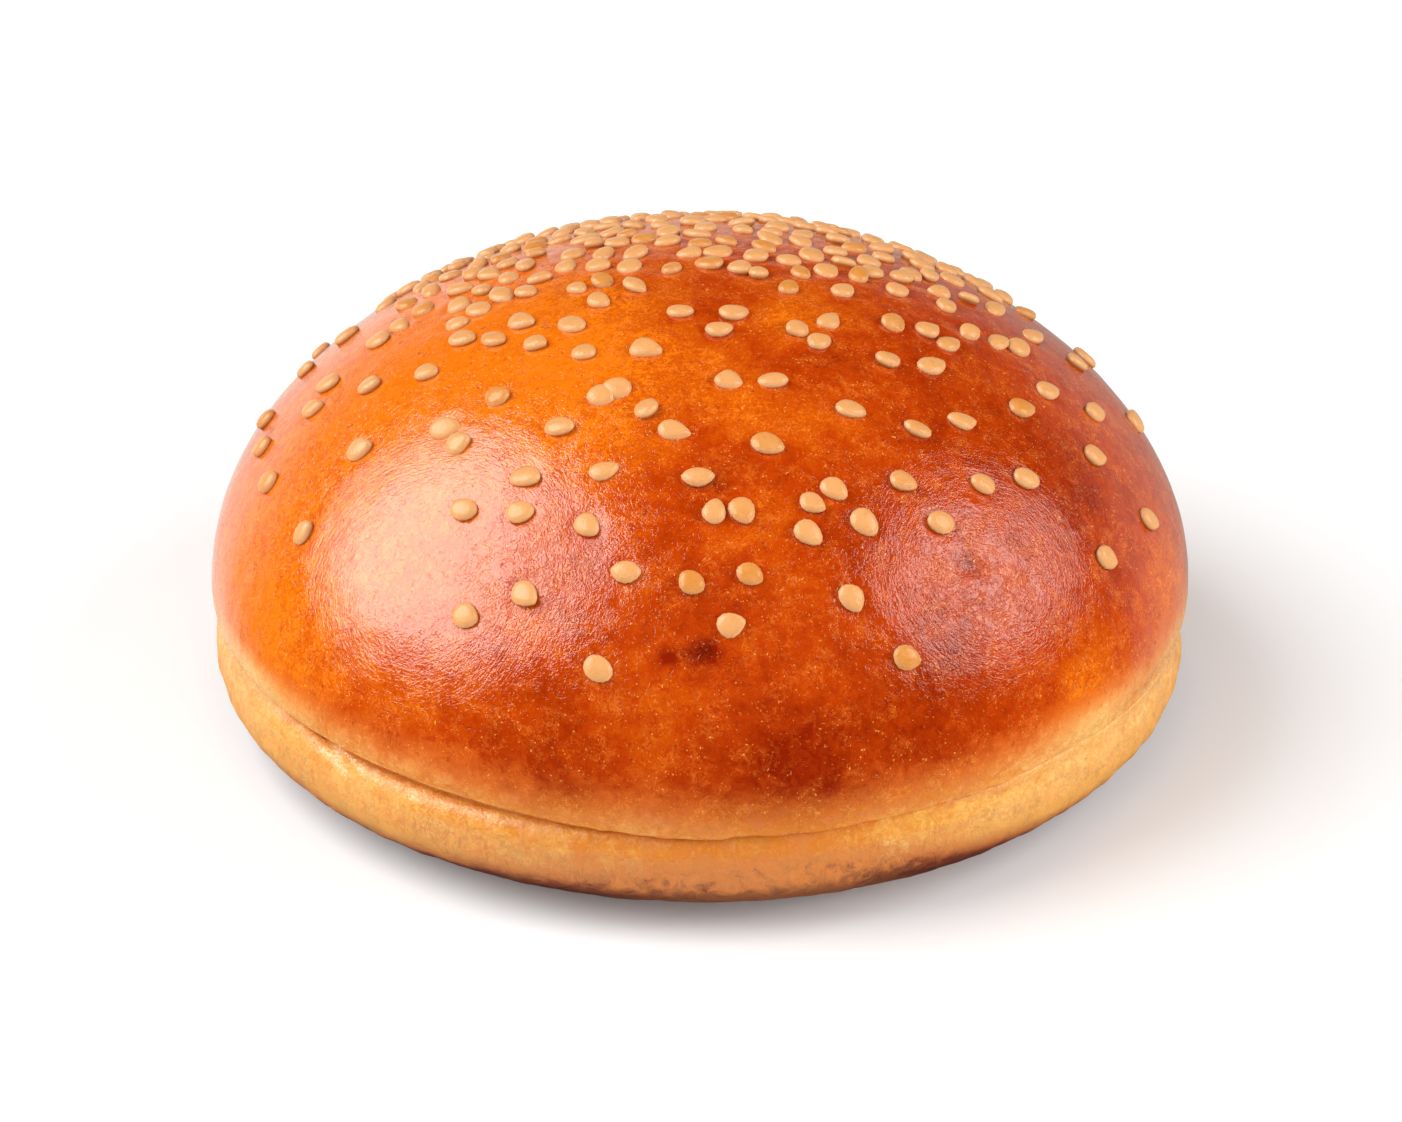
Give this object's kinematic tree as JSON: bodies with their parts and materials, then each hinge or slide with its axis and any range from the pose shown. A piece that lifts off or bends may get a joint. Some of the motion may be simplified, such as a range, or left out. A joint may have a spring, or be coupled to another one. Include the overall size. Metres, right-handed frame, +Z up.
{
  "type": "sesame bread roll",
  "caption": "Round glossy bread roll with a domed sesame-topped crown, a baked crease low on its side, a pale rounded skirt and a flat underside.",
  "frame": {"origin": "middle of the flat underside, on the surface the roll rests on", "axes": "+Z up through the crown; the front, with the low point of the crease, faces -Y; +X to the right seen from the front"},
  "size_m": [0.102, 0.102, 0.0487],
  "materials": {
    "crust": "gloss",
    "sesame": "satin"
  },
  "bodies": {
    "root": {"baked_roll": "crust", "sesame_seed_01": "sesame", "sesame_seed_02": "sesame", "sesame_seed_03": "sesame", "sesame_seed_04": "sesame", "sesame_seed_05": "sesame", "sesame_seed_06": "sesame", "sesame_seed_07": "sesame", "sesame_seed_08": "sesame", "sesame_seed_09": "sesame", "sesame_seed_10": "sesame", "sesame_seed_11": "sesame", "sesame_seed_12": "sesame", "sesame_seed_13": "sesame", "sesame_seed_14": "sesame", "sesame_seed_15": "sesame", "sesame_seed_16": "sesame", "sesame_seed_17": "sesame", "sesame_seed_18": "sesame", "sesame_seed_19": "sesame", "sesame_seed_20": "sesame", "sesame_seed_21": "sesame", "sesame_seed_22": "sesame", "sesame_seed_23": "sesame", "sesame_seed_24": "sesame", "sesame_seed_25": "sesame", "sesame_seed_26": "sesame", "sesame_seed_27": "sesame", "sesame_seed_28": "sesame", "sesame_seed_29": "sesame", "sesame_seed_30": "sesame", "sesame_seed_31": "sesame", "sesame_seed_32": "sesame", "sesame_seed_33": "sesame", "sesame_seed_34": "sesame", "sesame_seed_35": "sesame", "sesame_seed_36": "sesame", "sesame_seed_37": "sesame", "sesame_seed_38": "sesame", "sesame_seed_39": "sesame", "sesame_seed_40": "sesame", "sesame_seed_41": "sesame", "sesame_seed_42": "sesame", "sesame_seed_43": "sesame", "sesame_seed_44": "sesame", "sesame_seed_45": "sesame", "sesame_seed_46": "sesame", "sesame_seed_47": "sesame", "sesame_seed_48": "sesame", "sesame_seed_49": "sesame", "sesame_seed_50": "sesame", "sesame_seed_51": "sesame", "sesame_seed_52": "sesame", "sesame_seed_53": "sesame", "sesame_seed_54": "sesame", "sesame_seed_55": "sesame", "sesame_seed_56": "sesame", "sesame_seed_57": "sesame", "sesame_seed_58": "sesame", "sesame_seed_59": "sesame"}
  },
  "joints": []
}
